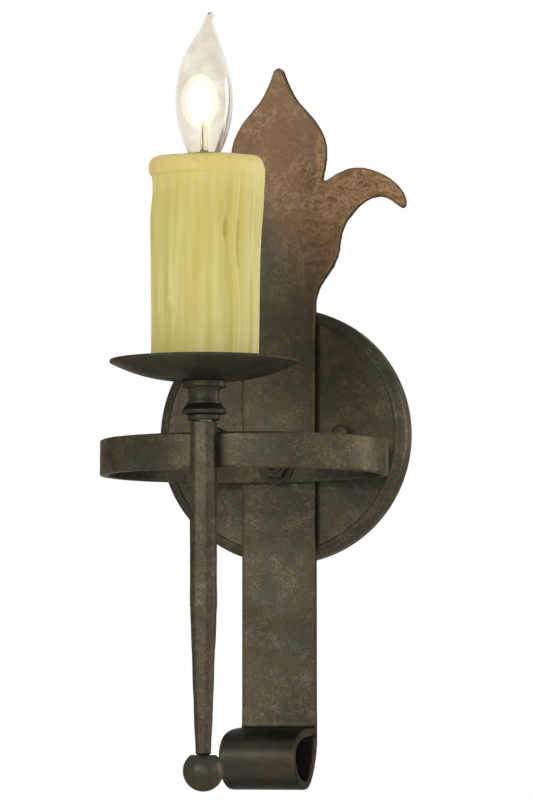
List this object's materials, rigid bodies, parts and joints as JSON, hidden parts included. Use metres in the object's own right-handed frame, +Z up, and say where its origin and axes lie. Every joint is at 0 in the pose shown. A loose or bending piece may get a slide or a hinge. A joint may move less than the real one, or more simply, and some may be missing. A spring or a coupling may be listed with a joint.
{
  "type": "torch sconce",
  "caption": "Wall sconce in hammered dark bronze: an iron strap with a fleur head and a scrolled foot carries a band ring and a tapered torch with a drip pan, a candle cover and a flame bulb.",
  "frame": {"origin": "centre of the round wall plate, on the wall plane", "axes": "+Y into the wall, so the room is towards -Y; +Z up; +X to the right for someone who faces the wall"},
  "size_m": [0.166, 0.2297, 0.435],
  "materials": {
    "iron_patina": "hand-rubbed dark bronze over hammered iron, with copper showing through",
    "dark_iron": "smooth satin dark bronze",
    "zinc_steel": "zinc-plated, slightly dull",
    "ground_green": "green-dyed zinc plate",
    "brass": "plain drawn brass",
    "socket_black": "moulded phenolic, semi-gloss",
    "candle_wax": "cast resin that looks like pale yellow-green wax, amber at the lip",
    "black_glass": "opaque black glass",
    "solder": "dull solder",
    "clear_glass": "clear, thin",
    "filament": "glowing tungsten"
  },
  "bodies": {
    "fixture": {"mounting_plate": "zinc_steel", "mounting_studs": "zinc_steel", "stud_nuts": "zinc_steel", "ground_screw": "ground_green", "canopy": "iron_patina", "strap": "iron_patina", "strap_screws": "zinc_steel", "ring_band": "iron_patina", "ring_nipple": "dark_iron", "canopy_washer": "zinc_steel", "canopy_nut": "zinc_steel", "ring_washer": "dark_iron", "ring_nut": "dark_iron", "torch_stem": "iron_patina", "stem_screw": "zinc_steel", "finial_ball": "iron_patina", "turned_collar": "dark_iron", "stem_nipple": "zinc_steel", "drip_pan": "dark_iron", "pan_nut": "zinc_steel", "bracket_nut": "zinc_steel", "socket_bracket": "zinc_steel", "socket_rivet": "brass", "socket_body": "socket_black", "socket_shell": "brass", "socket_contact": "brass"},
    "candle": {"candle_cover": "candle_wax"},
    "bulb": {"bulb_base": "brass", "bulb_insulator": "black_glass", "bulb_contact": "solder", "bulb_glass": "clear_glass", "bulb_mount": "clear_glass", "bulb_filament": "filament"},
    "left_nut": {"cap_nut_left": "iron_patina"},
    "right_nut": {"cap_nut_right": "iron_patina"}
  },
  "joints": [
    {"name": "cover_lift", "type": "slide", "parent": "fixture", "child": "candle", "axis": [0, 0, 1], "range_m": [0, 0.008]},
    {"name": "bulb_turn", "type": "hinge", "parent": "fixture", "child": "bulb", "pos_m": [0, -0.1772, 0.135], "axis": [0, 0, 1], "continuous": true},
    {"name": "left_nut_turn", "type": "hinge", "parent": "fixture", "child": "left_nut", "pos_m": [-0.0381, -0.02, 0], "axis": [0, 1, 0], "continuous": true},
    {"name": "right_nut_turn", "type": "hinge", "parent": "fixture", "child": "right_nut", "pos_m": [0.0381, -0.02, 0], "axis": [0, 1, 0], "continuous": true}
  ]
}
